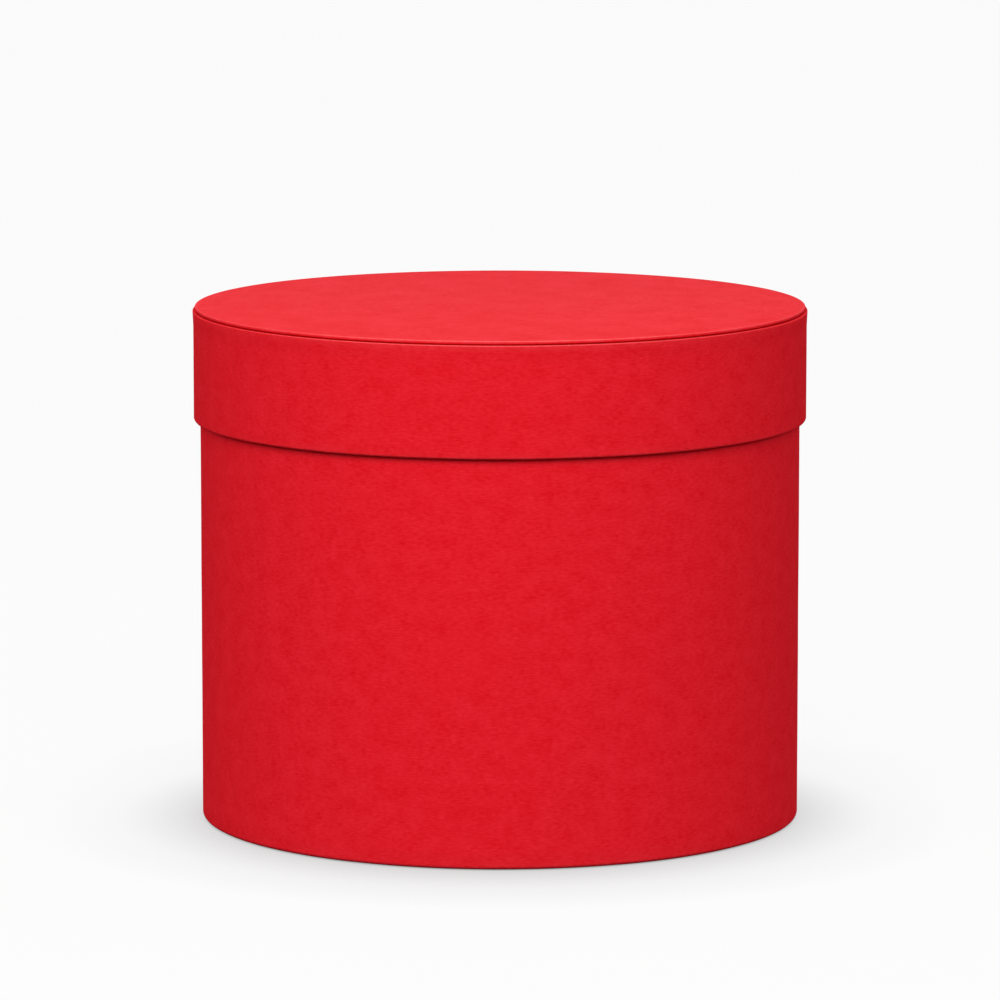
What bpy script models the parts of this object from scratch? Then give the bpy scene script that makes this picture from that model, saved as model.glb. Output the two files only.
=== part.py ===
"""Round flower box: a paper-covered greyboard box with a deep lift-off lid.

Metres, +Z up. The origin is the middle of the face that the box stands on. The front is -Y.
The boards butt at the back, +Y, which is also where the tapes lie.
The body and the lid are two rigid groups, and the lid lifts along +Z.
"""

import math

import bmesh
import bpy

# Overall sizes
BODY_RADIUS = 0.100
BOX_HEIGHT = 0.1723
LID_DEPTH = 0.0383

# Thicknesses of boards and papers, and the boards' pressed corners
WALL_BOARD = 0.0018
BASE_BOARD = 0.0020
RIM_BOARD = 0.0010
TOP_BOARD = 0.0010
COVER_PAPER = 0.00015
LINING_PAPER = 0.00015
TAPE_PAPER = 0.0001
BOARD_EASE = 0.0004
EASE_MOST_SHARE = 0.3

# Gaps between the pieces
GLUE_GAP = 0.0001
TAPE_GAP = 0.0001
SEAT_GAP = 0.0001
REST_GAP = 0.0003
LID_CLEARANCE = 0.0005
JOINT_GAP = 0.0006

# Folded edges of the covering papers
BODY_TURN_IN = 0.015
FOOT_TURN_UNDER = 0.012
RIM_TURN_IN = 0.012
LIP_TURN_IN = 0.004
TOP_TURN_UNDER = 0.006
FOLD_RADIUS = 0.0009
FOOT_RADIUS = 0.0009
BASE_PAPER_INSET = 0.0025
FOLD_MOST_SHARE = 0.45

# Top edge of the lid: the ring's lip, and the disc seated on it, whose edge is pressed down and rounded
LIP_FOLD = 0.0006
LIP_FLARE = 0.00025
LIP_FLARE_HEIGHT = 0.010
DISC_INSET = 0.0010
DISC_PRESS = 0.0004
DISC_PRESS_WIDTH = 0.009
LINING_STEP_WIDTH = 0.004

# Facets round the box, and points along its rounded edges
SEGMENTS = 72
TAPE_FACETS = 2
EDGE_STEPS = 3
DISC_EDGE_STEPS = 6
PRESS_SLOPE_SHARES = ((0.35, 0.12), (0.65, 0.42))
MERGE_SHARE = 0.001

# Body radii, from the outer paper inwards
wall_outer = BODY_RADIUS - COVER_PAPER - GLUE_GAP
wall_inner = wall_outer - WALL_BOARD
lining_gap = TAPE_PAPER + 2 * TAPE_GAP
wall_lining_outer = wall_inner - lining_gap
wall_lining_inner = wall_lining_outer - LINING_PAPER
wall_turn_inner = wall_inner - lining_gap - COVER_PAPER
base_board_radius = wall_inner - GLUE_GAP
base_lining_radius = wall_lining_inner - GLUE_GAP

# Lid radii, from the body's paper outwards
rim_turn_inner = BODY_RADIUS + LID_CLEARANCE
rim_inner = rim_turn_inner + max(COVER_PAPER, LINING_PAPER) + lining_gap
rim_outer = rim_inner + RIM_BOARD
lid_radius = rim_outer + GLUE_GAP + COVER_PAPER
lip_outer = lid_radius + LIP_FLARE
disc_radius = lip_outer - DISC_INSET
rim_fold = min(FOLD_RADIUS, FOLD_MOST_SHARE * (lid_radius - rim_turn_inner))
lip_fold = min(LIP_FOLD, FOLD_MOST_SHARE * (lip_outer - rim_turn_inner))
rim_lining_outer = rim_inner - lining_gap
rim_lining_inner = rim_lining_outer - LINING_PAPER
top_lining_radius = rim_turn_inner - GLUE_GAP

# Heights of the foot, from the floor upwards
foot_fold = COVER_PAPER + GLUE_GAP
wall_foot = foot_fold + COVER_PAPER + GLUE_GAP
base_board_top = wall_foot + BASE_BOARD
base_lining_bottom = base_board_top + GLUE_GAP

# Heights of the lid, from its top face downwards
top_board_top = BOX_HEIGHT - COVER_PAPER - GLUE_GAP
top_board_bottom = top_board_top - TOP_BOARD
disc_bottom = top_board_bottom - GLUE_GAP - COVER_PAPER
disc_edge_top = BOX_HEIGHT - DISC_PRESS
disc_edge_radius = (disc_edge_top - disc_bottom) / 2
lip_height = disc_bottom - SEAT_GAP
rim_top = lip_height - COVER_PAPER - GLUE_GAP
lip_turn_end = lip_height - LIP_TURN_IN
lid_foot = BOX_HEIGHT - LID_DEPTH
rim_foot = lid_foot + COVER_PAPER + GLUE_GAP
rim_turn_end = lid_foot + RIM_TURN_IN
lining_edge = disc_bottom - GLUE_GAP
lining_middle = top_board_bottom - GLUE_GAP

# Top edge of the body, which carries the lid's lining
body_crest = lining_edge - LINING_PAPER - REST_GAP
wall_top = body_crest - COVER_PAPER - GLUE_GAP
body_turn_end = body_crest - BODY_TURN_IN

facet_angle = 2 * math.pi / SEGMENTS


def clear_scene():
    """Remove every object that is in the file."""
    for thing in list(bpy.data.objects):
        bpy.data.objects.remove(thing, do_unlink=True)


def make_collection(name):
    """A collection in the scene."""
    collection = bpy.data.collections.new(name)
    bpy.context.scene.collection.children.link(collection)
    return collection


def make_material(name, colour, roughness):
    """A matt Principled finish of one colour."""
    material = bpy.data.materials.new(name)
    material.use_nodes = True
    shader = material.node_tree.nodes["Principled BSDF"]
    shader.inputs["Base Color"].default_value = (*colour, 1.0)
    shader.inputs["Roughness"].default_value = roughness
    shader.inputs["Metallic"].default_value = 0.0
    return material


def arc(centre_r, centre_z, radius, start, end, steps):
    """Points of an arc in the profile plane, in degrees from +X towards +Z."""
    points = []
    for step in range(steps + 1):
        angle = math.radians(start + (end - start) * step / steps)
        points.append((centre_r + radius * math.cos(angle), centre_z + radius * math.sin(angle)))
    return points


def add_object(name, mesh, group, material):
    """Put a mesh into the scene as one named piece of a group."""
    piece = bpy.data.objects.new(name, mesh)
    group["collection"].objects.link(piece)
    piece.parent = group["axis"]
    mesh.materials.append(material)
    return piece


def profile_mesh(name, points, closed):
    """A profile of (radius, height) points as a wire of edges in the XZ plane."""
    mesh = bpy.data.meshes.new(name)
    count = len(points)
    edges = [(i, i + 1) for i in range(count - 1)]
    if closed:
        edges.append((count - 1, 0))
    mesh.from_pydata([(r, 0.0, z) for r, z in points], edges, [])
    return mesh


def add_screw(piece, facets):
    """Turn a profile about Z through so many facets of the full circle."""
    full = facets == SEGMENTS
    screw = piece.modifiers.new("Turn", "SCREW")
    screw.axis = "Z"
    screw.angle = facets * facet_angle
    screw.steps = facets if full else facets + 1
    screw.render_steps = screw.steps
    screw.use_merge_vertices = full
    screw.merge_threshold = MERGE_SHARE * COVER_PAPER
    screw.use_smooth_shade = True


def turned_solid(name, outline, group, material):
    """A ring or disc whose closed outline runs down its outer side."""
    piece = add_object(name, profile_mesh(name, outline, closed=True), group, material)
    add_screw(piece, SEGMENTS)
    return piece


def turned_paper(name, face_line, thickness, group, material, facets=SEGMENTS):
    """A paper whose seen face is a turned line, with its thickness behind it."""
    piece = add_object(name, profile_mesh(name, face_line, closed=False), group, material)
    add_screw(piece, facets)
    solid = piece.modifiers.new("Thickness", "SOLIDIFY")
    solid.thickness = thickness
    solid.offset = -1.0
    solid.use_even_offset = True
    return piece


def flat_disc(name, radius, bottom, thickness, group, material):
    """A plain board or paper disc."""
    mesh = bpy.data.meshes.new(name)
    shape = bmesh.new()
    bmesh.ops.create_cone(
        shape,
        cap_ends=True,
        segments=SEGMENTS,
        radius1=radius,
        radius2=radius,
        depth=thickness,
    )
    shape.to_mesh(mesh)
    shape.free()
    piece = add_object(name, mesh, group, material)
    piece.location.z = bottom + thickness / 2
    return piece


def board_ring(name, outer, inner, bottom, top, group, cutters, material):
    """A board strip bent into a ring, its corners eased, with its butt joint at the back."""
    ease = min(BOARD_EASE, EASE_MOST_SHARE * (outer - inner))
    outline = [
        (outer, top - ease),
        (outer, bottom + ease),
        (outer - ease, bottom),
        (inner + ease, bottom),
        (inner, bottom + ease),
        (inner, top - ease),
        (inner + ease, top),
        (outer - ease, top),
    ]
    ring = turned_solid(name, outline, group, material)
    mesh = bpy.data.meshes.new(name + "_joint_cutter")
    shape = bmesh.new()
    bmesh.ops.create_cube(shape, size=1.0)
    depth = 2 * (outer - inner)
    bmesh.ops.scale(shape, vec=(JOINT_GAP, depth, 2 * (top - bottom)), verts=shape.verts)
    shape.to_mesh(mesh)
    shape.free()
    cutter = bpy.data.objects.new(name + "_joint_cutter", mesh)
    cutters.objects.link(cutter)
    cutter.location = (0.0, (outer + inner) / 2, (top + bottom) / 2)
    cutter.parent = group["axis"]
    cutter.hide_render = True
    cutter.display_type = "WIRE"
    joint = ring.modifiers.new("Butt joint", "BOOLEAN")
    joint.operation = "DIFFERENCE"
    joint.solver = "EXACT"
    joint.object = cutter
    return ring


def joint_tape(name, board_inner, bottom, top, group, material):
    """The tape over a butt joint, on the inner face of the ring."""
    face = board_inner - TAPE_GAP - TAPE_PAPER
    tape = turned_paper(name, [(face, bottom), (face, top)], TAPE_PAPER, group, material, TAPE_FACETS)
    tape.rotation_euler.z = math.pi / 2 - TAPE_FACETS * facet_angle / 2
    return tape


def body_wrap_line():
    """Seen face of the body's paper: up inside, over the wall, down and under the foot."""
    inner_corner = arc(
        wall_turn_inner + FOLD_RADIUS, body_crest - FOLD_RADIUS, FOLD_RADIUS, 180, 90, EDGE_STEPS
    )
    outer_corner = arc(BODY_RADIUS - FOLD_RADIUS, body_crest - FOLD_RADIUS, FOLD_RADIUS, 90, 0, EDGE_STEPS)
    foot_corner = arc(BODY_RADIUS - FOOT_RADIUS, foot_fold + FOOT_RADIUS, FOOT_RADIUS, 0, -90, EDGE_STEPS)
    line = [(wall_turn_inner, body_turn_end)]
    line += inner_corner + outer_corner + foot_corner
    line.append((BODY_RADIUS - FOOT_TURN_UNDER, foot_fold))
    return line


def rim_wrap_line():
    """Seen face of the lid's side paper: up inside, over the lip, down the skirt and up inside again."""
    inner_lip = arc(rim_turn_inner + lip_fold, lip_height - lip_fold, lip_fold, 180, 90, EDGE_STEPS)
    outer_lip = arc(lip_outer - lip_fold, lip_height - lip_fold, lip_fold, 90, 0, EDGE_STEPS)
    outer_fold = arc(lid_radius - rim_fold, lid_foot + rim_fold, rim_fold, 0, -90, EDGE_STEPS)
    inner_fold = arc(rim_turn_inner + rim_fold, lid_foot + rim_fold, rim_fold, 270, 180, EDGE_STEPS)
    line = [(rim_turn_inner, lip_turn_end)]
    line += inner_lip + outer_lip
    line.append((lid_radius, lip_height - LIP_FLARE_HEIGHT))
    line += outer_fold + inner_fold
    line.append((rim_turn_inner, rim_turn_end))
    return line


def disc_edge(top, radius):
    """The lid's disc, or its board inside the paper, from the flat top over the pressed edge to the back.

    The slope starts at the pressed width from the round edge, whose radius is the one given.
    """
    start = disc_radius - DISC_PRESS_WIDTH
    end = disc_radius - disc_edge_radius
    slope = [(start, top)]
    for along_share, down_share in PRESS_SLOPE_SHARES:
        slope.append((start + along_share * (end - start), top - down_share * DISC_PRESS))
    return slope + arc(end, disc_edge_top - disc_edge_radius, radius, 90, -90, DISC_EDGE_STEPS)


def top_paper_line():
    """Seen face of the lid's top paper: flat, round the edge and turned under."""
    line = [(0.0, BOX_HEIGHT)]
    line += disc_edge(BOX_HEIGHT, disc_edge_radius)
    line.append((disc_radius - TOP_TURN_UNDER, disc_bottom))
    return line


def top_board_outline():
    """Half outline of the lid's board disc, whose edge follows its paper."""
    outline = [(0.0, top_board_top)]
    outline += disc_edge(top_board_top, (TOP_BOARD - DISC_PRESS) / 2)
    outline.append((0.0, top_board_bottom))
    return outline


def top_lining_line():
    """Seen face of the lid's inner disc: it steps up past the turn-under to the board."""
    step_end = disc_radius - TOP_TURN_UNDER - GLUE_GAP
    return [
        (top_lining_radius, lining_edge - LINING_PAPER),
        (step_end, lining_edge - LINING_PAPER),
        (step_end - LINING_STEP_WIDTH, lining_middle - LINING_PAPER),
        (0.0, lining_middle - LINING_PAPER),
    ]


def half_turned(name, outline, group, material):
    """A disc whose outline starts and ends on the axis."""
    piece = add_object(name, profile_mesh(name, outline, closed=False), group, material)
    add_screw(piece, SEGMENTS)
    return piece


def build_body(group, cutters, red, board, kraft, white):
    """The seven pieces of the box body."""
    board_ring("wall_board", wall_outer, wall_inner, wall_foot, wall_top, group, cutters, board)
    joint_tape(
        "wall_joint_tape", wall_inner, base_board_top + GLUE_GAP, body_turn_end - GLUE_GAP, group, kraft
    )
    flat_disc("base_board", base_board_radius, wall_foot, BASE_BOARD, group, board)
    turned_paper("wall_wrap", body_wrap_line(), COVER_PAPER, group, red)
    flat_disc("base_paper", BODY_RADIUS - BASE_PAPER_INSET, 0.0, COVER_PAPER, group, red)
    lining_line = [(wall_lining_inner, base_lining_bottom), (wall_lining_inner, body_turn_end - GLUE_GAP)]
    turned_paper("wall_lining", lining_line, LINING_PAPER, group, white)
    flat_disc("base_lining", base_lining_radius, base_lining_bottom, LINING_PAPER, group, white)


def build_lid(group, cutters, red, board, kraft, white):
    """The seven pieces of the lid."""
    lining_top = lip_turn_end - GLUE_GAP
    lining_bottom = rim_turn_end + GLUE_GAP
    board_ring("lid_rim_board", rim_outer, rim_inner, rim_foot, rim_top, group, cutters, board)
    joint_tape("lid_joint_tape", rim_inner, lining_bottom, lining_top, group, kraft)
    half_turned("lid_top_board", top_board_outline(), group, board)
    turned_paper("lid_rim_wrap", rim_wrap_line(), COVER_PAPER, group, red)
    turned_paper("lid_top_paper", top_paper_line(), COVER_PAPER, group, red)
    lining_line = [(rim_lining_inner, lining_bottom), (rim_lining_inner, lining_top)]
    turned_paper("lid_rim_lining", lining_line, LINING_PAPER, group, white)
    turned_paper("lid_top_lining", top_lining_line(), LINING_PAPER, group, white)


def make_group(name, collection):
    """An empty on the lift axis that carries one rigid group of pieces."""
    axis = bpy.data.objects.new(name, None)
    collection.objects.link(axis)
    return {"collection": collection, "axis": axis}


def main():
    clear_scene()
    parts = make_collection("round_flower_box")
    cutters = make_collection("cutters")
    red = make_material("red_paper", (0.72, 0.012, 0.02), 0.75)
    board = make_material("greyboard", (0.33, 0.3, 0.26), 0.9)
    kraft = make_material("kraft_tape", (0.47, 0.3, 0.16), 0.8)
    white = make_material("lining_paper", (0.83, 0.81, 0.76), 0.8)
    build_body(make_group("box_axis", parts), cutters, red, board, kraft, white)
    build_lid(make_group("lid_lift_axis", parts), cutters, red, board, kraft, white)


main()
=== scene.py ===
"""Looks of the round flower box: its red covering papers, its linings and the studio.

Metres, +Z up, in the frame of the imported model. The front is -Y, and every seam lies towards the back, +Y.
Each paper is a sheet wrapped round the axis: a profile of (radius, height) points is swept round the axis on
a grid, given its thickness, and lapped over its own start.
"""

import logging
import math
from dataclasses import dataclass, field, replace
from enum import Enum
from typing import Any, Sequence

import bmesh
import bpy
import numpy as np
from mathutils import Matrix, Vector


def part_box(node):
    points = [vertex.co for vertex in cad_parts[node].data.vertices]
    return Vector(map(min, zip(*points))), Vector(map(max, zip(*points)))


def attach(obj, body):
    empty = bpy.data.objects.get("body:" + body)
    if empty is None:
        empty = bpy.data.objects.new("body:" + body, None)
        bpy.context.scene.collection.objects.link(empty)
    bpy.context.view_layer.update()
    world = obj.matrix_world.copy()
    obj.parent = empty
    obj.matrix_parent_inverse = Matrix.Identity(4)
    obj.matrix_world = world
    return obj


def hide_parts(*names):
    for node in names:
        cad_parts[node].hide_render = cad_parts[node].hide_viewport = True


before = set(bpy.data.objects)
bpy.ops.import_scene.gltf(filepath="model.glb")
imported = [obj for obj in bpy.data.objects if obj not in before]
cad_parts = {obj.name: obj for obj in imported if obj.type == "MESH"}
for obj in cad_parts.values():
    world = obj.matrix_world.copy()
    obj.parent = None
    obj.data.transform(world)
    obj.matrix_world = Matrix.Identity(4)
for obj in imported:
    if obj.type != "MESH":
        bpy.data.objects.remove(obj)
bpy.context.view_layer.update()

log = logging.getLogger("round_flower_box")

MM = 0.001
SHARP_ANGLE = math.radians(40.0)
WELD_DISTANCE = 1e-7

# Profiles and laps: a corner this close to straight stays as it is, and an arc and a lap have at least
# this many steps
STRAIGHT = 1e-6
LEAST_ARC_STEPS = 2
LEAST_LAP_COLUMNS = 8

# Pale folds, partly rubbed wear and partly a painted highlight: how far the paleness reaches, the turn that
# counts in full, and its share where a fold faces down and where it is at the back, away from the softbox
FOLD_REACH = 0.2 * MM
FULL_FOLD = math.radians(34.0)
DOWN_FOLD_WEAR_AND_HIGHLIGHT = 0.12
LEAST_WEAR_AND_HIGHLIGHT = 0.15
FRONT_WEAR_AND_HIGHLIGHT_POWER = 3

# Finishes: how much smoother the paper is along its pale folds, and the look of pulp in boards and tapes
RUBBED_SMOOTHNESS = 0.2
PULP_SHARE = 0.6
PULP_DETAIL = 4.0
PULP_CLOUD_SCALE = 0.1
PULP_DARKEST = 0.7
PULP_PALEST = 1.3
PULP_RELIEF = 0.02 * MM

Corner = tuple[float, float, float]


class Body(Enum):
    """The two rigid groups of the box."""

    BOX = "box"
    LID = "lid"


class Slot(Enum):
    """The record's material slots of the papers."""

    RED = "red_paper"
    LINING = "lining_paper"


class Seam(Enum):
    """Where a wrapped sheet starts, in degrees from +X towards +Y."""

    BODY = 88.0
    RIM = 74.0
    WALL_LINING = 100.0
    RIM_LINING = 64.0


# Profiles and grids


def rounded_line(corners: Sequence[Corner], step_angle: float, spacing: float) -> np.ndarray:
    """A polyline whose corners are arcs.

    An arc of radius R touches both straights at R / tan(half the corner's angle) from the corner, and its
    points turn from one tangent point to the other about the arc's centre. Straights longer than the spacing
    are divided evenly.

    Args:
        corners: (radius, height, corner radius) of each corner; the corner radius of an end is not used.
        step_angle: the most that an arc turns between two points, in radians.
        spacing: the longest stretch without a point, in metres.

    Returns:
        An array of (radius, height) rows.
    """
    places = np.array([corner[:2] for corner in corners], float)
    points = [places[0]]
    for before, corner, after, size in zip(places, places[1:], places[2:], [c[2] for c in corners[1:]]):
        back = (before - corner) / np.linalg.norm(before - corner)
        ahead = (after - corner) / np.linalg.norm(after - corner)
        half = math.acos(np.clip(back @ ahead, -1.0, 1.0)) / 2
        if size == 0.0 or half > math.pi / 2 - STRAIGHT:
            points.append(corner)
            continue
        centre = corner + (back + ahead) / np.linalg.norm(back + ahead) * size / math.sin(half)
        first = corner + back * size / math.tan(half) - centre
        last = corner + ahead * size / math.tan(half) - centre
        turn = math.pi - 2 * half
        count = max(LEAST_ARC_STEPS, math.ceil(turn / step_angle))
        share = np.linspace(0.0, 1.0, count + 1)[:, None]
        sweep = np.sin((1 - share) * turn) * first + np.sin(share * turn) * last
        points.extend(centre + sweep / math.sin(turn))
    points.append(places[-1])
    return divided(np.array(points), spacing)


def divided(points: np.ndarray, spacing: float) -> np.ndarray:
    """Divide the stretches of a polyline that are longer than the spacing.

    Each is cut into equal steps, as few as the spacing allows. A point that lies on the one before it is
    dropped.

    Args:
        points: rows of (radius, height).
        spacing: the longest step, in metres.

    Returns:
        The rows, with those in between.
    """
    stretches = []
    for start, end in zip(points, points[1:]):
        count = max(1, math.ceil(np.linalg.norm(end - start) / spacing))
        stretches.append(np.linspace(start, end, count, endpoint=False))
    stretches.append(points[-1:])
    line = np.concatenate(stretches)
    apart = np.linalg.norm(np.diff(line, axis=0), axis=1) > WELD_DISTANCE
    return line[np.concatenate([[True], apart])]


def line_normals(line: np.ndarray) -> np.ndarray:
    """Unit normals of a profile, on the left of its direction of travel: outwards where it runs down.

    A point's direction of travel is the slope between its neighbours, and its normal is that direction
    turned by a quarter.

    Args:
        line: rows of (radius, height).

    Returns:
        A unit (radial, upward) row for each point.
    """
    along = np.gradient(line, axis=0)
    normals = np.stack([-along[:, 1], along[:, 0]], axis=1)
    return normals / np.linalg.norm(normals, axis=1, keepdims=True)


def fold_wear_and_highlight(line: np.ndarray) -> np.ndarray:
    """How pale a profile's folds are near each of its points, from 0, not at all, to 1.

    The turns of the profile are added up, each weighted by a bell curve of its distance along the profile.
    The sum is measured against a full fold, and counts in full only where the sheet faces up. The paleness
    is partly rubbed wear and partly a painted highlight where the folds catch the light from above.

    Args:
        line: rows of (radius, height).

    Returns:
        One value for each row.
    """
    steps = np.diff(line, axis=0)
    along = np.concatenate([[0.0], np.cumsum(np.linalg.norm(steps, axis=1))])
    headings = np.unwrap(np.arctan2(steps[:, 1], steps[:, 0]))
    turns = np.concatenate([[0.0], np.abs(np.diff(headings)), [0.0]])
    apart = (along[:, None] - along[None, :]) / FOLD_REACH
    folded = np.clip((turns * np.exp(-apart * apart)).sum(axis=1) / FULL_FOLD, 0.0, 1.0)
    return folded * np.clip(line_normals(line)[:, 1], DOWN_FOLD_WEAR_AND_HIGHLIGHT, 1.0)


def front_wear_and_highlight(azimuths: np.ndarray) -> np.ndarray:
    """How much of the folds' paleness there is round the axis: all of it in front, at -Y, and little
    elsewhere.

    The share is the least one, and for the rest a power of the front's cosine. The front's extra is
    mostly a painted highlight from the softbox in front, the rest rubbed wear.

    Args:
        azimuths: in radians from +X.

    Returns:
        One share for each azimuth.
    """
    front = np.clip(-np.sin(azimuths), 0.0, 1.0)
    return LEAST_WEAR_AND_HIGHLIGHT + (1.0 - LEAST_WEAR_AND_HIGHLIGHT) * front**FRONT_WEAR_AND_HIGHLIGHT_POWER


def smooth_step(value: np.ndarray) -> np.ndarray:
    """Ease from 0 to 1: three times the square less twice the cube of the clamped value."""
    clamped = np.clip(value, 0.0, 1.0)
    return clamped * clamped * (3.0 - 2.0 * clamped)


@dataclass(frozen=True)
class Waves:
    """A shallow, even unevenness: a sum of plane sine waves of random direction and phase."""

    height: float
    longest: float
    shortest: float
    count: int
    seed: int

    def over(self, across: np.ndarray, along: np.ndarray) -> np.ndarray:
        """Heights over a sheet.

        Each wave is its share of the height times the sine of (wave vector . place + phase); the longest
        waves are the highest.

        Args:
            across: distance round the sheet, in metres.
            along: distance along its profile, in metres.

        Returns:
            An array of the heights, in metres, shaped like the places.
        """
        random = np.random.default_rng(self.seed)
        lengths = np.geomspace(self.longest, self.shortest, self.count)
        turns = random.uniform(0.0, math.pi, self.count)
        phases = random.uniform(0.0, 2 * math.pi, self.count)
        total = np.zeros(np.broadcast(across, along).shape)
        for length, turn, phase in zip(lengths, turns, phases):
            place = across * math.cos(turn) + along * math.sin(turn)
            total += length / self.longest * np.sin(2 * math.pi * place / length + phase)
        return total * self.height / math.sqrt(self.count)


FLAT = Waves(height=0.0, longest=1.0, shortest=1.0, count=1, seed=1)


@dataclass
class Piece:
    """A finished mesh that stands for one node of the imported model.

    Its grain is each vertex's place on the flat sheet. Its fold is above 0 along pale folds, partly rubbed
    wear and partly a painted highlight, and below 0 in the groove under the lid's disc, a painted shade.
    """

    name: str
    vertices: np.ndarray
    faces: np.ndarray
    grain: np.ndarray
    fold: np.ndarray
    body: Body
    slot: Slot
    node: str

    def make(self, material: bpy.types.Material) -> bpy.types.Object:
        """Put the mesh into the scene, closed, dressed and riding on its body.

        Args:
            material: the piece's finish.

        Returns:
            The new object.
        """
        mesh = bpy.data.meshes.new(self.name)
        mesh.from_pydata(self.vertices.tolist(), [], self.faces.tolist())
        corner_vertex = np.empty(len(mesh.loops), np.int32)
        mesh.loops.foreach_get("vertex_index", corner_vertex)
        layer = mesh.uv_layers.new(name="grain")
        layer.data.foreach_set("uv", self.grain[corner_vertex].astype(np.float32).ravel())
        fold = mesh.attributes.new("fold", "FLOAT", "POINT")
        fold.data.foreach_set("value", self.fold.astype(np.float32))
        shape = bmesh.new()
        shape.from_mesh(mesh)
        bmesh.ops.remove_doubles(shape, verts=shape.verts, dist=WELD_DISTANCE)
        shape.to_mesh(mesh)
        shape.free()
        mesh.shade_smooth()
        mesh.set_sharp_from_angle(angle=SHARP_ANGLE)
        mesh.materials.append(material)
        piece = bpy.data.objects.new(self.name, mesh)
        bpy.context.scene.collection.objects.link(piece)
        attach(piece, self.body.value)
        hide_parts(self.node)
        count = len(mesh.polygons)
        log.info("%s: %d faces, rides on %s, stands for %s", self.name, count, self.body.value, self.node)
        return piece


def grid_faces(rows: int, columns: int, first: int, flipped: bool) -> np.ndarray:
    """Four-cornered faces of a grid of vertices, numbered row by row.

    Args:
        rows: how many rows of vertices there are.
        columns: how many vertices a row has.
        first: the number of the grid's first vertex.
        flipped: whether the faces look the other way.

    Returns:
        Four vertex numbers for each face.
    """
    corner = first + np.arange(rows - 1)[:, None] * columns + np.arange(columns - 1)[None, :]
    quads = np.stack([corner, corner + columns, corner + columns + 1, corner + 1], axis=-1).reshape(-1, 4)
    return quads[:, ::-1] if flipped else quads


def edge_faces(seen: np.ndarray, hidden: np.ndarray) -> np.ndarray:
    """Faces that close the edge of a sheet between its seen and its hidden side."""
    return np.stack([seen[1:], seen[:-1], hidden[:-1], hidden[1:]], axis=-1)


@dataclass
class Sheet:
    """A sheet of paper swept round the axis.

    A point of the seen side is the profile's point, moved along the profile's normal by the lift there, and
    turned about +Z by its azimuth. The hidden side lies one thickness behind.
    """

    line: np.ndarray
    thickness: float
    azimuths: np.ndarray
    lift: np.ndarray
    grain_radius: float
    # painted shade in the groove under the lid's disc, one share for each point of the profile
    groove_shade: np.ndarray

    def mesh(self) -> tuple[np.ndarray, np.ndarray, np.ndarray, np.ndarray]:
        """Vertices, faces, grain coordinates and folds of the closed sheet.

        Returns:
            The vertices, the faces as vertex numbers, each vertex's place on the flat sheet, in metres, and
            how pale it is at a fold, partly rubbed wear and partly a painted highlight, less how far
            painted shade darkens it in the groove.
        """
        normals = line_normals(self.line)
        rows, columns = len(self.line), len(self.azimuths)
        sides = []
        for depth in (0.0, self.thickness):
            offset = (self.lift - depth)[:, :, None] * normals[:, None, :]
            place = self.line[:, None, :] + offset
            radius = np.maximum(place[:, :, 0], 0.0)
            x = radius * np.cos(self.azimuths)
            y = radius * np.sin(self.azimuths)
            sides.append(np.stack([x, y, place[:, :, 1]], axis=-1).reshape(-1, 3))
        number = np.arange(rows * columns).reshape(rows, columns)
        under = number + rows * columns
        faces = [
            grid_faces(rows, columns, 0, flipped=False),
            grid_faces(rows, columns, rows * columns, flipped=True),
            edge_faces(number[-1], under[-1]),
            edge_faces(number[0][::-1], under[0][::-1]),
            edge_faces(number[::-1, -1], under[::-1, -1]),
            edge_faces(number[:, 0], under[:, 0]),
        ]
        # Pale folds, partly rubbed wear and partly a painted highlight, less the painted shade in the groove
        wear_and_highlight_mask = np.outer(fold_wear_and_highlight(self.line), front_wear_and_highlight(self.azimuths))
        folds = np.tile((wear_and_highlight_mask * (1.0 - self.groove_shade[:, None]) - self.groove_shade[:, None]).ravel(), 2)
        return np.concatenate(sides), np.concatenate(faces), np.tile(self.flat_places(), (2, 1)), folds

    def flat_places(self) -> np.ndarray:
        """Distance round the axis, azimuth times grain radius, and along the profile, for the grid's points.

        Returns:
            An (across, along) row for each point, in metres.
        """
        stretches = np.linalg.norm(np.diff(self.line, axis=0), axis=1)
        along = np.concatenate([[0.0], np.cumsum(stretches)])
        across = self.azimuths * self.grain_radius
        grid = np.stack(np.meshgrid(along, across, indexing="ij")[::-1], axis=-1)
        return grid.reshape(-1, 2)


@dataclass(frozen=True)
class Lap:
    """How a sheet's end lies over its start."""

    start: Seam
    width: float
    ramp: float
    rise: float

    def azimuths(self, radius: float, columns: int, fine: float) -> np.ndarray:
        """Azimuths of the sheet's columns, closer together where it climbs over its own start.

        Args:
            radius: of the sheet, in metres.
            columns: in the even stretch of a full turn.
            fine: the distance between columns at the lap, in metres.

        Returns:
            Rising azimuths, in radians, over one turn and the lap.
        """
        begin = math.radians(self.start.value)
        climb = begin + 2 * math.pi - self.ramp / radius
        end = begin + 2 * math.pi + self.width / radius
        even = np.linspace(begin, climb, columns, endpoint=False)
        steps = max(LEAST_LAP_COLUMNS, math.ceil((end - climb) * radius / fine))
        return np.concatenate([even, np.linspace(climb, end, steps + 1)])

    def lift(self, azimuths: np.ndarray, radius: float) -> np.ndarray:
        """How far the sheet stands off its own first layer: eased from 0 to the rise over the ramp.

        Args:
            azimuths: of the sheet's columns, in radians.
            radius: of the sheet, in metres.

        Returns:
            One height for each azimuth, in metres.
        """
        begin = math.radians(self.start.value)
        climbed = (azimuths - (begin + 2 * math.pi)) * radius + self.ramp
        return self.rise * smooth_step(climbed / self.ramp)


# Shader expressions


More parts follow.
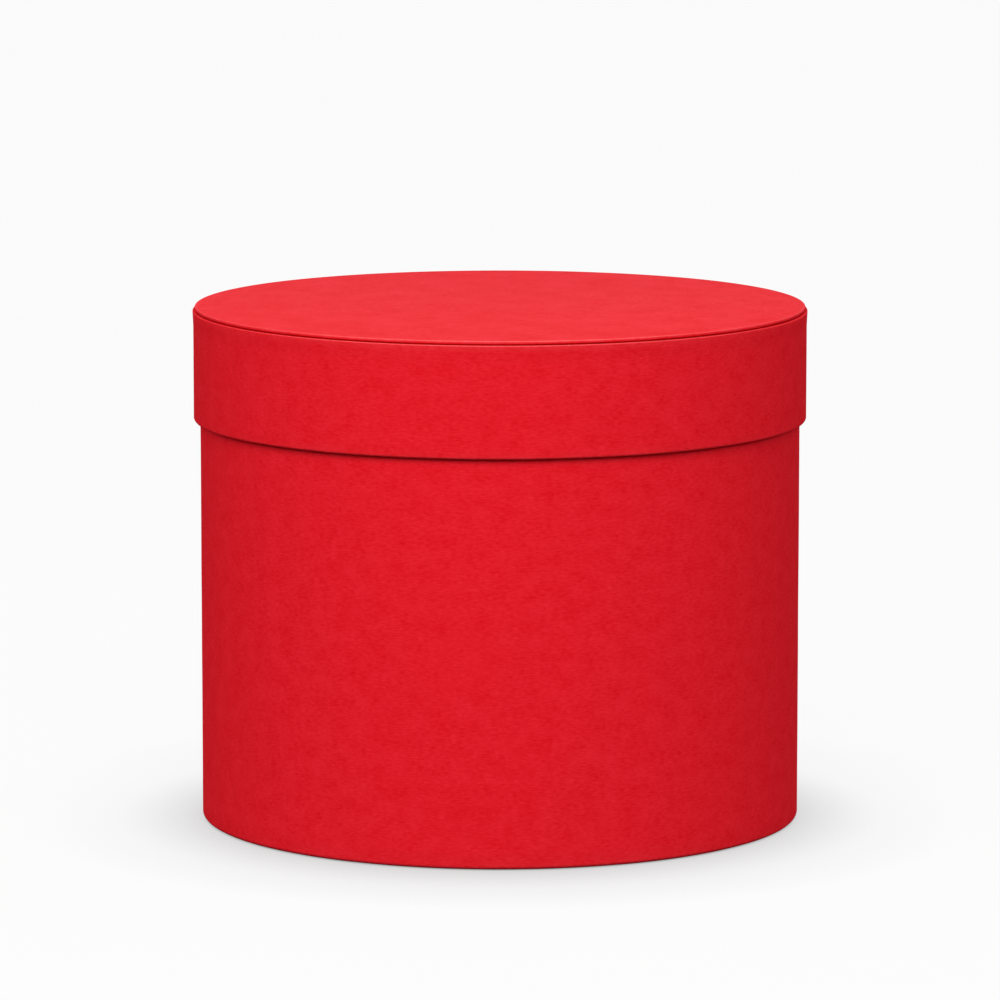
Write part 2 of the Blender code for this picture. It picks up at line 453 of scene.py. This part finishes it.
class Signal:
    """A shader socket that Python's arithmetic signs work on, one Math node to a sign."""

    def __init__(self, nodes: "Nodes", socket: bpy.types.NodeSocket) -> None:
        """Wrap an output socket of a node tree."""
        self.nodes = nodes
        self.socket = socket

    def _math(self, operation: str, *values: Any) -> "Signal":
        """One Math node on these values."""
        return self.nodes.add("ShaderNodeMath", {"operation": operation}, dict(enumerate(values)))

    def __add__(self, other: Any) -> "Signal":
        """This plus the other."""
        return self._math("ADD", self, other)

    def __radd__(self, other: Any) -> "Signal":
        """The other plus this."""
        return self._math("ADD", other, self)

    def __sub__(self, other: Any) -> "Signal":
        """This less the other."""
        return self._math("SUBTRACT", self, other)

    def __rsub__(self, other: Any) -> "Signal":
        """The other less this."""
        return self._math("SUBTRACT", other, self)

    def __mul__(self, other: Any) -> "Signal":
        """This times the other."""
        return self._math("MULTIPLY", self, other)

    def __rmul__(self, other: Any) -> "Signal":
        """The other times this."""
        return self._math("MULTIPLY", other, self)


class Nodes:
    """The node tree of one material, emptied and rebuilt."""

    def __init__(self, tree: bpy.types.NodeTree) -> None:
        """Start with an empty tree."""
        self.tree = tree
        self.tree.nodes.clear()

    def add(self, kind: str, settings: dict[str, Any], inputs: dict[Any, Any], output: Any = 0) -> Signal:
        """Add a node.

        Args:
            kind: the node's type.
            settings: its own settings, set before its sockets are used.
            inputs: values or signals by socket name or number.
            output: the name or number of the socket that is wanted.

        Returns:
            That output socket.
        """
        node = self.tree.nodes.new(kind)
        for name, value in settings.items():
            if name == "stops":
                self._set_stops(node.color_ramp, value)
            else:
                setattr(node, name, value)
        for key, value in inputs.items():
            socket = node.inputs[key]
            if isinstance(value, Signal):
                self.tree.links.new(value.socket, socket)
            else:
                socket.default_value = value
        return Signal(self, node.outputs[output])

    @staticmethod
    def _set_stops(ramp: bpy.types.ColorRamp, stops: Sequence[tuple[float, Sequence[float]]]) -> None:
        """Give a colour ramp its stops.

        Args:
            ramp: the ramp of a node.
            stops: a place from 0 to 1 and a colour for each stop.
        """
        while len(ramp.elements) < len(stops):
            ramp.elements.new(0.5)
        for element, (place, colour) in zip(ramp.elements, stops):
            element.position = place
            element.color = (*colour, 1.0)

    def blend(self, factor: Signal, first: Any, second: Any) -> Signal:
        """Mix two colours."""
        settings = {"data_type": "RGBA", "clamp_factor": True}
        return self.add("ShaderNodeMix", settings, {0: factor, 6: first, 7: second}, 2)

    def finish(self, surface: Signal, kind: str = "ShaderNodeOutputMaterial") -> None:
        """Add an output node, of a material unless another kind is named, and link the shader to it."""
        node = self.tree.nodes.new(kind)
        self.tree.links.new(surface.socket, node.inputs["Surface"])


def grey(level: float) -> tuple[float, float, float, float]:
    """A grey or white of one level."""
    return (level, level, level, 1.0)


def shade(colour: Sequence[float], factor: float) -> tuple[float, float, float, float]:
    """A colour made darker or lighter by one factor."""
    return (colour[0] * factor, colour[1] * factor, colour[2] * factor, 1.0)


@dataclass(frozen=True)
class Speckle:
    """One layer of the paper's unevenness: its grains' size round and along the sheet, and its strength."""

    across: float
    along: float
    detail: float
    gain: float

    def tone(self, nodes: Nodes, place: Signal) -> Signal:
        """The layer's noise about zero, times its gain.

        Args:
            nodes: the node tree of the paper.
            place: the paper's grain coordinates.

        Returns:
            The layer's share of the tone.
        """
        scale = (1 / self.across, 1 / self.along, 1.0)
        scaled = nodes.add("ShaderNodeMapping", {}, {"Vector": place, "Scale": scale})
        noise = nodes.add("ShaderNodeTexNoise", {}, {"Vector": scaled, "Scale": 1.0, "Detail": self.detail})
        return (noise - 0.5) * self.gain


@dataclass(frozen=True)
class PaperFinish:
    """A matt felt-marked paper: lengthwise fibres, mottling and clouds.

    It is paler along its folds, partly rubbed wear and partly a painted highlight, and darker in the
    groove under the lid's disc, a painted shade.
    """

    name: str
    colour: tuple[float, float, float]
    depth: tuple[float, float, float]
    roughness: float
    specular: float
    fibres: Speckle
    mottle: Speckle
    clouds: Speckle
    # Pale folds, partly rubbed wear and partly a painted highlight, then the colour of the painted groove
    # shade
    worn_and_highlight_colour: tuple[float, float, float]
    wear_and_highlight_strength: float
    groove_shade: tuple[float, float, float]
    relief: float

    def material(self) -> bpy.types.Material:
        """Build the paper's material on its own grain coordinates.

        The layers' sum, about zero, mixes the paper's darkest and palest tones. The fold, times its strength
        and the uneven layers, mixes in the pale fold colour, partly rubbed wear and partly a painted
        highlight, and where it is below zero the colour of the painted shade in the groove.

        Returns:
            The material, whose colour, roughness and bump follow the paper's layers.
        """
        material = bpy.data.materials.new(self.name)
        material.use_nodes = True
        nodes = Nodes(material.node_tree)
        grain = nodes.add("ShaderNodeUVMap", {"uv_map": "grain"}, {})
        layers = (self.fibres, self.mottle, self.clouds)
        fibres, mottle, clouds = (layer.tone(nodes, grain) for layer in layers)
        tone = fibres + mottle + clouds
        paper = nodes.blend(tone + 0.5, self._shade(-1.0), self._shade(1.0))
        fold = nodes.add("ShaderNodeAttribute", {"attribute_name": "fold"}, {}, "Fac")
        # Pale folds: partly rubbed wear, partly a painted highlight
        wear_and_highlight_mask = fold * (mottle + fibres + 1.0) * self.wear_and_highlight_strength
        colour = nodes.blend(wear_and_highlight_mask, paper, (*self.worn_and_highlight_colour, 1.0))
        # Painted shade: the groove under the lid's disc is darkened in the colour itself
        colour = nodes.blend(fold * -1.0, colour, (*self.groove_shade, 1.0))
        normal = nodes.add(
            "ShaderNodeBump", {}, {"Strength": 1.0, "Distance": self.relief, "Height": fibres + mottle}
        )
        surface = nodes.add(
            "ShaderNodeBsdfPrincipled",
            {},
            {
                "Base Color": colour,
                "Roughness": self.roughness - wear_and_highlight_mask * RUBBED_SMOOTHNESS,
                "Specular IOR Level": self.specular,
                "Normal": normal,
            },
        )
        nodes.finish(surface)
        return material

    def _shade(self, side: float) -> tuple[float, float, float, float]:
        """The paper's colour at one end of its tones: -1 for the darkest and 1 for the palest."""
        red, green, blue = (value * (1.0 + side * depth) for value, depth in zip(self.colour, self.depth))
        return (red, green, blue, 1.0)


@dataclass(frozen=True)
class BoardFinish:
    """Raw greyboard or kraft tape: grey or brown pulp with darker and lighter flecks."""

    name: str
    colour: tuple[float, float, float]
    roughness: float
    fleck: float
    contrast: float

    def material(self) -> bpy.types.Material:
        """Build the board's material on object coordinates.

        Fine and coarse noise are added by their shares and mix the darkest and the palest pulp.

        Returns:
            The material, whose colour and bump follow the pulp.
        """
        material = bpy.data.materials.new(self.name)
        material.use_nodes = True
        nodes = Nodes(material.node_tree)
        place = nodes.add("ShaderNodeTexCoord", {}, {}, "Object")
        fine = {"Vector": place, "Scale": 1 / self.fleck, "Detail": PULP_DETAIL}
        pulp = nodes.add("ShaderNodeTexNoise", {}, fine)
        coarse = {"Vector": place, "Scale": PULP_CLOUD_SCALE / self.fleck}
        clouds = nodes.add("ShaderNodeTexNoise", {}, coarse)
        spread = (pulp * PULP_SHARE + clouds * (1 - PULP_SHARE) - 0.5) * self.contrast + 0.5
        colour = nodes.blend(spread, shade(self.colour, PULP_DARKEST), shade(self.colour, PULP_PALEST))
        normal = nodes.add("ShaderNodeBump", {}, {"Strength": 1.0, "Distance": PULP_RELIEF, "Height": pulp})
        surface = nodes.add(
            "ShaderNodeBsdfPrincipled",
            {},
            {"Base Color": colour, "Roughness": self.roughness, "Normal": normal},
        )
        nodes.finish(surface)
        return material


RED_PAPER = PaperFinish(
    name="red_covering_paper",
    colour=(0.84, 0.0138, 0.0245),
    depth=(0.065, 0.56, 0.45),
    roughness=0.85,
    specular=0.01,
    fibres=Speckle(across=2.2 * MM, along=0.42 * MM, detail=2.0, gain=1.3),
    mottle=Speckle(across=1.8 * MM, along=1.2 * MM, detail=3.0, gain=0.9),
    clouds=Speckle(across=7.0 * MM, along=5.5 * MM, detail=2.0, gain=0.95),
    # Pale folds: partly rubbed wear, partly a painted highlight
    worn_and_highlight_colour=(0.95, 0.13, 0.14),
    wear_and_highlight_strength=0.95,
    # Painted shade in the groove under the lid's disc
    groove_shade=(0.58, 0.0010, 0.0020),
    relief=0.02 * MM,
)
LINING_PAPER = PaperFinish(
    name="plain_lining_paper",
    colour=(0.80, 0.785, 0.745),
    depth=(0.05, 0.05, 0.06),
    roughness=0.7,
    specular=0.3,
    fibres=Speckle(across=1.6 * MM, along=0.5 * MM, detail=1.0, gain=1.0),
    mottle=Speckle(across=4.0 * MM, along=3.0 * MM, detail=2.0, gain=0.5),
    clouds=Speckle(across=20.0 * MM, along=20.0 * MM, detail=1.0, gain=0.3),
    worn_and_highlight_colour=(0.80, 0.785, 0.745),
    wear_and_highlight_strength=0.0,
    groove_shade=(0.80, 0.785, 0.745),
    relief=0.015 * MM,
)
RED_DISC_PAPER = replace(
    RED_PAPER,
    name="red_covering_paper_pressed",
    depth=(0.05, 0.75, 0.62),
    specular=0.065,
    fibres=Speckle(across=1.5 * MM, along=2.4 * MM, detail=1.0, gain=0.7),
    mottle=Speckle(across=3.0 * MM, along=4.0 * MM, detail=1.0, gain=0.8),
    clouds=Speckle(across=14.0 * MM, along=18.0 * MM, detail=2.0, gain=1.3),
)
GREYBOARD = BoardFinish(
    name="grey_pulp_board", colour=(0.33, 0.30, 0.26), roughness=0.9, fleck=0.8 * MM, contrast=1.2
)
KRAFT = BoardFinish(
    name="brown_kraft_tape", colour=(0.47, 0.30, 0.16), roughness=0.75, fleck=0.5 * MM, contrast=0.8
)


# The papers of the box and of its lid


def flat_thickness(node: str) -> float:
    """The thickness of a flat packed sheet: the height of its box."""
    low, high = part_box(node)
    return high.z - low.z


@dataclass
class PaperCut:
    """Sizes that every covering paper shares."""

    arc_step: float = math.radians(12.0)
    spacing: float = 5.0 * MM
    columns: int = 360
    lap_fine: float = 0.6 * MM
    lap_width: float = 11.0 * MM
    lap_ramp: float = 2.5 * MM
    lap_air: float = 0.01 * MM

    def wrapped(
        self, line: np.ndarray, thickness: float, seam: Seam, waves: Waves, groove_shade: np.ndarray | None = None
    ) -> Sheet:
        """A sheet that goes once round the axis and laps over its start.

        Args:
            line: the profile of its seen side.
            thickness: of the paper.
            seam: where it starts.
            waves: its unevenness.
            groove_shade: how far painted shade darkens each point of the profile, nowhere if it is left out.

        Returns:
            The sheet.
        """
        radius = float(line[:, 0].max())
        lap = Lap(seam, self.lap_width, self.lap_ramp, thickness + self.lap_air)
        azimuths = lap.azimuths(radius, self.columns, self.lap_fine)
        stretches = np.linalg.norm(np.diff(line, axis=0), axis=1)
        along = np.concatenate([[0.0], np.cumsum(stretches)])[:, None]
        first = math.radians(seam.value)
        turned = np.mod(azimuths - first, 2 * math.pi)[None, :] * radius
        lift = lap.lift(azimuths, radius)[None, :] + waves.over(turned, along)
        return Sheet(line, thickness, azimuths, lift, radius, np.zeros(len(line)) if groove_shade is None else groove_shade)


@dataclass
class Disc:
    """A round sheet: a profile with one end on the axis, closed after a full turn."""

    line: np.ndarray
    thickness: float
    columns: int
    waves: Waves
    # painted shade in the groove under the lid's disc, one share for each point of the profile
    groove_shade: np.ndarray | None = None

    def mesh(self) -> tuple[np.ndarray, np.ndarray, np.ndarray, np.ndarray]:
        """Vertices, faces, grain coordinates and folds; the grain of a disc is its place across it.

        Returns:
            The vertices, the faces as vertex numbers, each vertex's place on the flat sheet, in metres, and
            how pale it is at a fold, partly rubbed wear and partly a painted highlight, less how far
            painted shade darkens it in the groove.
        """
        azimuths = np.linspace(0.0, 2 * math.pi, self.columns + 1)
        radius = self.line[:, :1]
        lift = self.waves.over(radius * np.cos(azimuths), radius * np.sin(azimuths))
        groove_shade = np.zeros(len(self.line)) if self.groove_shade is None else self.groove_shade
        sheet = Sheet(self.line, self.thickness, azimuths, lift, 0.0, groove_shade)
        vertices, faces, _, folds = sheet.mesh()
        sides = faces[: len(faces) - 2 * (len(self.line) - 1)]
        off_axis = np.linalg.norm(vertices[:, :2], axis=1) > WELD_DISTANCE
        return vertices, sides[off_axis[sides].any(axis=1)], vertices[:, :2], folds


@dataclass
class BoxBody:
    """The papers of the box below the lid."""

    cut: PaperCut
    fold_radius: float = 0.9 * MM
    foot_radius: float = 1.4 * MM
    turn_in: float = 15.0 * MM
    turn_under: float = 12.0 * MM
    waves: Waves = Waves(height=0.03 * MM, longest=60.0 * MM, shortest=12.0 * MM, count=12, seed=3)
    radius: float = field(init=False)
    foot: float = field(init=False)
    crest: float = field(init=False)
    paper: float = field(init=False)

    def __post_init__(self) -> None:
        """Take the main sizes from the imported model."""
        low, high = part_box("wall_wrap")
        self.radius, self.foot, self.crest = high.x, low.z, high.z
        self.paper = flat_thickness("base_paper")

    def wrap(self) -> Piece:
        """The red paper: up inside the mouth, over the wall, down to the foot and under it.

        Returns:
            The piece that stands for wall_wrap.
        """
        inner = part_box("wall_lining")[1].x - self.paper
        line = rounded_line(
            [
                (inner, self.crest - self.turn_in, 0.0),
                (inner, self.crest, self.fold_radius),
                (self.radius, self.crest, self.fold_radius),
                (self.radius, self.foot, self.foot_radius),
                (self.radius - self.turn_under, self.foot, 0.0),
            ],
            self.cut.arc_step,
            self.cut.spacing,
        )
        sheet = self.cut.wrapped(line, self.paper, Seam.BODY, self.waves)
        return Piece("body_paper", *sheet.mesh(), Body.BOX, Slot.RED, "wall_wrap")

    def base(self) -> Piece:
        """The red disc that the box stands on.

        Returns:
            The piece that stands for base_paper.
        """
        low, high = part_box("base_paper")
        line = divided(np.array([(high.x, low.z), (0.0, low.z)]), self.cut.spacing)
        disc = Disc(line, self.paper, self.cut.columns, FLAT)
        return Piece("foot_paper", *disc.mesh(), Body.BOX, Slot.RED, "base_paper")

    def wall_lining(self) -> Piece:
        """The plain lining of the wall.

        Returns:
            The piece that stands for wall_lining.
        """
        low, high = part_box("wall_lining")
        thickness = flat_thickness("base_lining")
        radius = high.x - thickness
        line = divided(np.array([(radius, low.z), (radius, high.z)]), self.cut.spacing)
        sheet = self.cut.wrapped(line, thickness, Seam.WALL_LINING, self.waves)
        return Piece("wall_lining_sheet", *sheet.mesh(), Body.BOX, Slot.LINING, "wall_lining")

    def floor_lining(self) -> Piece:
        """The plain disc on the floor of the box.

        Returns:
            The piece that stands for base_lining.
        """
        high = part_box("base_lining")[1]
        line = divided(np.array([(0.0, high.z), (high.x, high.z)]), self.cut.spacing)
        disc = Disc(line, flat_thickness("base_lining"), self.cut.columns, self.waves)
        return Piece("floor_lining_sheet", *disc.mesh(), Body.BOX, Slot.LINING, "base_lining")


@dataclass
class Lid:
    """The papers of the lid."""

    cut: PaperCut
    fold_radius: float = 0.9 * MM
    turn_in: float = 12.0 * MM
    clearance: float = 0.5 * MM
    lip_fold: float = 0.3 * MM
    inner_lip_fold: float = 0.1 * MM
    lip_turn_in: float = 4.0 * MM
    flare: float = 0.25 * MM
    flare_height: float = 5.0 * MM
    flare_radius: float = 20.0 * MM
    press: float = 0.25 * MM
    press_width: float = 9.0 * MM
    press_points: int = 10
    edge_fold: float = 0.3 * MM
    slit: float = 0.72 * MM
    undercut: float = 1.3 * MM
    roll_out: float = 0.25 * MM
    # how far the painted shade in the groove eases out
    groove_shade_reach: float = 0.25 * MM
    seat: float = 0.005 * MM
    turn_under: float = 6.0 * MM
    lining_step: float = 4.0 * MM
    waves: Waves = Waves(height=0.03 * MM, longest=60.0 * MM, shortest=12.0 * MM, count=12, seed=7)
    disc_waves: Waves = Waves(height=0.02 * MM, longest=90.0 * MM, shortest=25.0 * MM, count=9, seed=11)
    lip_radius: float = field(init=False)
    foot: float = field(init=False)
    lip: float = field(init=False)
    paper: float = field(init=False)

    def __post_init__(self) -> None:
        """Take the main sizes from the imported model."""
        low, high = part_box("lid_rim_wrap")
        self.lip_radius, self.foot, self.lip = high.x, low.z, high.z
        self.paper = flat_thickness("base_paper")

    def rim_wrap(self) -> Piece:
        """The red paper of the skirt: over the lip, down the skirt, its lower fold and both turn-ins.

        Painted shade darkens it where the disc covers it, in the groove, eased out over the shade's reach.

        Returns:
            The piece that stands for lid_rim_wrap.
        """
        skirt = self.lip_radius - self.flare
        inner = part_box("wall_wrap")[1].x + self.clearance
        line = rounded_line(
            [
                (inner, self.lip - self.lip_turn_in, 0.0),
                (inner, self.lip, self.inner_lip_fold),
                (self.lip_radius, self.lip, self.lip_fold),
                (skirt, self.lip - self.flare_height, self.flare_radius),
                (skirt, self.foot, self.fold_radius),
                (inner, self.foot, self.fold_radius),
                (inner, self.foot + self.turn_in, 0.0),
            ],
            self.cut.arc_step,
            self.cut.spacing / 2,
        )
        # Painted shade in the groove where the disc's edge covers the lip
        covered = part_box("lid_top_paper")[1].x + self.roll_out + self.groove_shade_reach
        on_lip = line[:, 1] > self.lip - self.lip_turn_in
        groove_shade = smooth_step((covered - line[:, 0]) / self.groove_shade_reach) * on_lip
        sheet = self.cut.wrapped(line, self.paper, Seam.RIM, self.waves, groove_shade)
        return Piece("lid_side_paper", *sheet.mesh(), Body.LID, Slot.RED, "lid_rim_wrap")

    def top_paper(self) -> Piece:
        """The red paper over the disc: flat, down the pressed edge, round it and turned under.

        The pressed edge falls by the press times the square of the share of the way across its width. Below
        the fold the side is upright down to the slit, where a quarter of an ellipse runs in to the lip that
        the turned paper lies on. The rolled paper stands out a little from the disc, and painted shade
        darkens it from the slit down, in the groove.

        Returns:
            The piece that stands for lid_top_paper.
        """
        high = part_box("lid_top_paper")[1]
        low = self.lip + self.seat
        edge = high.z - self.press
        widest = high.x + self.roll_out
        slope_start, slope_end = high.x - self.press_width, widest - self.edge_fold
        share = np.linspace(0.0, 1.0, self.press_points)
        slope_radii = slope_start + share * (slope_end - slope_start)
        slope = np.stack([slope_radii, high.z - self.press * share**2], axis=1)
        turn = np.linspace(0.0, math.pi / 2, math.ceil(math.pi / 2 / self.cut.arc_step) + 1)
        fold = np.stack([np.sin(turn) - 1.0, np.cos(turn) - 1.0], axis=1)[1:] * self.edge_fold
        under = np.stack([np.cos(turn) - 1.0, 1.0 - np.sin(turn)], axis=1) * (self.undercut, self.slit)
        parts = [
            [(0.0, high.z)],
            slope,
            fold + (widest, edge),
            under + (widest, low),
            [(high.x - self.turn_under, low)],
        ]
        line = divided(np.concatenate(parts), self.cut.spacing)
        # Painted shade in the groove, from the slit down
        groove_shade = smooth_step((low + self.slit - line[:, 1]) / self.groove_shade_reach)
        disc = Disc(line, self.paper, self.cut.columns, self.disc_waves, groove_shade)
        return Piece("lid_disc_paper", *disc.mesh(), Body.LID, Slot.RED, "lid_top_paper")

    def rim_lining(self) -> Piece:
        """The plain lining of the skirt.

        Returns:
            The piece that stands for lid_rim_lining.
        """
        low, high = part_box("lid_rim_lining")
        thickness = flat_thickness("base_lining")
        radius = high.x - thickness
        line = divided(np.array([(radius, low.z), (radius, high.z)]), self.cut.spacing)
        sheet = self.cut.wrapped(line, thickness, Seam.RIM_LINING, self.waves)
        return Piece("lid_lining_band", *sheet.mesh(), Body.LID, Slot.LINING, "lid_rim_lining")

    def top_lining(self) -> Piece:
        """The plain disc under the lid's top, stepped up past the turn-under.

        Returns:
            The piece that stands for lid_top_lining.
        """
        low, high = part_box("lid_top_lining")
        thickness = flat_thickness("base_lining")
        step_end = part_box("lid_top_paper")[1].x - self.turn_under - thickness
        middle = high.z - thickness
        line = rounded_line(
            [
                (high.x, low.z, 0.0),
                (step_end, low.z, self.lining_step),
                (step_end - self.lining_step, middle, self.lining_step),
                (0.0, middle, 0.0),
            ],
            self.cut.arc_step,
            self.cut.spacing,
        )
        disc = Disc(line, thickness, self.cut.columns, self.waves)
        return Piece("lid_lining_disc", *disc.mesh(), Body.LID, Slot.LINING, "lid_top_lining")


# The studio


@dataclass
class Studio:
    """A pale floor inside a soft light tent, with a wide softbox in front, above and a little to the left."""

    floor_size: float = 24.0
    floor_shade: float = 0.06
    floor_bounce: float = 0.05
    floor_glow: float = 0.918
    shadow_samples: int = 4
    contact_reach: float = 30.0 * MM
    contact_depth: float = 0.34
    front_reach: float = 60.0 * MM
    front_depth: float = 0.24
    front_normal: tuple[float, float, float] = (0.0, 0.94, 0.34)
    back_reach: float = 80.0 * MM
    back_depth: float = 0.12
    back_normal: tuple[float, float, float] = (0.0, -0.94, 0.34)
    backdrop: float = 0.97
    tent_light: float = 2.32
    tent_stops: tuple[tuple[float, float], ...] = ((0.14, 0.0), (0.3, 1.0), (0.48, 1.0), (0.58, 0.08))
    softbox_width: float = 1.0
    softbox_height: float = 0.6
    softbox_distance: float = 1.4
    softbox_raised: float = math.radians(41.0)
    softbox_left: float = math.radians(8.0)
    softbox_power: float = 10.6

    def build(self) -> None:
        """Make the floor, the tent and the softbox."""
        self._floor()
        self._tent()
        self._softbox()

    def _floor(self) -> None:
        """A flat floor, glowing only in the camera's sight, with a painted shadow where the box is near.

        The glow is mixed with black by the sum of three shares that the box hides, each times its depth:
        of the half sphere above, of the one that faces the box from in front, and of the one that faces it
        from behind.
        """
        half = self.floor_size / 2
        mesh = bpy.data.meshes.new("floor")
        corners = [(-half, -half, 0.0), (half, -half, 0.0), (half, half, 0.0), (-half, half, 0.0)]
        mesh.from_pydata(corners, [], [(0, 1, 2, 3)])
        material = bpy.data.materials.new("pale_floor")
        material.use_nodes = True
        nodes = Nodes(material.node_tree)
        matt = nodes.add("ShaderNodeBsdfDiffuse", {}, {"Color": grey(self.floor_shade)})
        dim = nodes.add("ShaderNodeBsdfDiffuse", {}, {"Color": grey(self.floor_bounce)})
        up = (0.0, 0.0, 1.0)
        # Painted shadow: the glow darkens where the box hides part of each half sphere
        shadow = (
            self._blocked(nodes, up, self.contact_reach) * self.contact_depth
            + self._blocked(nodes, self.front_normal, self.front_reach) * self.front_depth
            + self._blocked(nodes, self.back_normal, self.back_reach) * self.back_depth
        )
        shaded = nodes.blend(shadow, grey(self.floor_glow), grey(0.0))
        glow = nodes.add("ShaderNodeEmission", {}, {"Color": shaded, "Strength": 1.0})
        lit = nodes.add("ShaderNodeAddShader", {}, {0: matt, 1: glow})
        nodes.finish(nodes.add("ShaderNodeMixShader", {}, {0: self._seen(nodes), 1: dim, 2: lit}))
        mesh.materials.append(material)
        floor = bpy.data.objects.new("floor", mesh)
        bpy.context.scene.collection.objects.link(floor)

    def _blocked(self, nodes: Nodes, normal: Sequence[float], reach: float) -> Signal:
        """The share of the half sphere about a normal that something within reach hides.

        Args:
            nodes: the node tree of the floor.
            normal: the middle of the half sphere.
            reach: in metres.

        Returns:
            The share, from 0 to 1.
        """
        facing = nodes.add("ShaderNodeCombineXYZ", {}, dict(enumerate(normal)))
        inputs = {"Distance": reach, "Normal": facing}
        return 1.0 - nodes.add("ShaderNodeAmbientOcclusion", {"samples": self.shadow_samples}, inputs, "AO")

    @staticmethod
    def _seen(nodes: Nodes) -> Signal:
        """1 for what the camera sees, itself or in gloss or glass.

        Args:
            nodes: the node tree that asks.

        Returns:
            1 on such a ray and 0 on any other.
        """
        camera = nodes.add("ShaderNodeLightPath", {}, {}, "Is Camera Ray")
        gloss = nodes.add("ShaderNodeLightPath", {}, {}, "Is Glossy Ray")
        glass = nodes.add("ShaderNodeLightPath", {}, {}, "Is Transmission Ray")
        either = nodes.add("ShaderNodeMath", {"operation": "MAXIMUM"}, {0: camera, 1: gloss})
        return nodes.add("ShaderNodeMath", {"operation": "MAXIMUM"}, {0: either, 1: glass})

    def _tent(self) -> None:
        """The tent's wall glows evenly all round, by height; past the floor the camera sees plain white."""
        world = bpy.data.worlds.new("light_tent")
        bpy.context.scene.world = world
        world.use_nodes = True
        nodes = Nodes(world.node_tree)
        direction = nodes.add("ShaderNodeTexCoord", {}, {}, "Generated")
        height = nodes.add("ShaderNodeSeparateXYZ", {}, {"Vector": direction}, "Z")
        stops = [(place, (level, level, level)) for place, level in self.tent_stops]
        wall = nodes.add("ShaderNodeValToRGB", {"stops": stops}, {"Fac": height})
        light = nodes.add("ShaderNodeBackground", {}, {"Color": wall, "Strength": self.tent_light})
        backdrop = nodes.add("ShaderNodeBackground", {}, {"Color": grey(1.0), "Strength": self.backdrop})
        mixed = nodes.add("ShaderNodeMixShader", {}, {0: self._seen(nodes), 1: light, 2: backdrop})
        nodes.finish(mixed, "ShaderNodeOutputWorld")

    def _softbox(self) -> None:
        """A wide softbox in front, aimed at the middle of the box."""
        lamp = bpy.data.lights.new("softbox", "AREA")
        lamp.shape = "RECTANGLE"
        lamp.size = self.softbox_width
        lamp.size_y = self.softbox_height
        lamp.energy = self.softbox_power
        holder = bpy.data.objects.new("softbox", lamp)
        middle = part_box("lid_top_paper")[1].z / 2
        out = self.softbox_distance * math.cos(self.softbox_raised)
        holder.location = (
            -out * math.sin(self.softbox_left),
            -out * math.cos(self.softbox_left),
            middle + self.softbox_distance * math.sin(self.softbox_raised),
        )
        holder.rotation_euler = (math.pi / 2 - self.softbox_raised, 0.0, -self.softbox_left)
        holder.visible_camera = False
        bpy.context.scene.collection.objects.link(holder)


@dataclass
class PhotoCamera:
    """The camera that the photograph was taken with: a long lens a little above the lid."""

    focal_px: float = 6642.5
    frame_px: float = 1000.0
    sensor_mm: float = 36.0
    distance: float = 2.2
    height: float = 0.43035
    tilt: float = 0.14632

    def build(self) -> None:
        """Make the camera in front of the box, tilted down, and use it."""
        data = bpy.data.cameras.new("photo_camera")
        data.sensor_width = self.sensor_mm
        data.lens = self.focal_px / self.frame_px * self.sensor_mm
        camera = bpy.data.objects.new("photo_camera", data)
        camera.location = (0.0, -self.distance, self.height)
        camera.rotation_euler = (math.pi / 2 - self.tilt, 0.0, 0.0)
        bpy.context.scene.collection.objects.link(camera)
        bpy.context.scene.camera = camera


def dress_boards() -> None:
    """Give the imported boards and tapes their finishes."""
    board, tape = GREYBOARD.material(), KRAFT.material()
    finishes = {
        "wall_board": board,
        "base_board": board,
        "lid_rim_board": board,
        "lid_top_board": board,
        "wall_joint_tape": tape,
        "lid_joint_tape": tape,
    }
    for node, material in finishes.items():
        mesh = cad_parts[node].data
        mesh.materials.clear()
        mesh.materials.append(material)
        log.info("%s: packed solid in %s", node, material.name)


def main() -> None:
    """Build the studio, dress the boards and make every paper."""
    logging.basicConfig(level=logging.INFO, format="%(message)s")
    bpy.context.scene.view_settings.view_transform = "Standard"
    Studio().build()
    PhotoCamera().build()
    dress_boards()
    red, lining = RED_PAPER.material(), LINING_PAPER.material()
    cut = PaperCut()
    body, lid = BoxBody(cut), Lid(cut)
    for piece in (body.wrap(), body.base(), lid.rim_wrap()):
        piece.make(red)
    lid.top_paper().make(RED_DISC_PAPER.material())
    for piece in (body.wall_lining(), body.floor_lining(), lid.rim_lining(), lid.top_lining()):
        piece.make(lining)


if __name__ == "__main__":
    main()
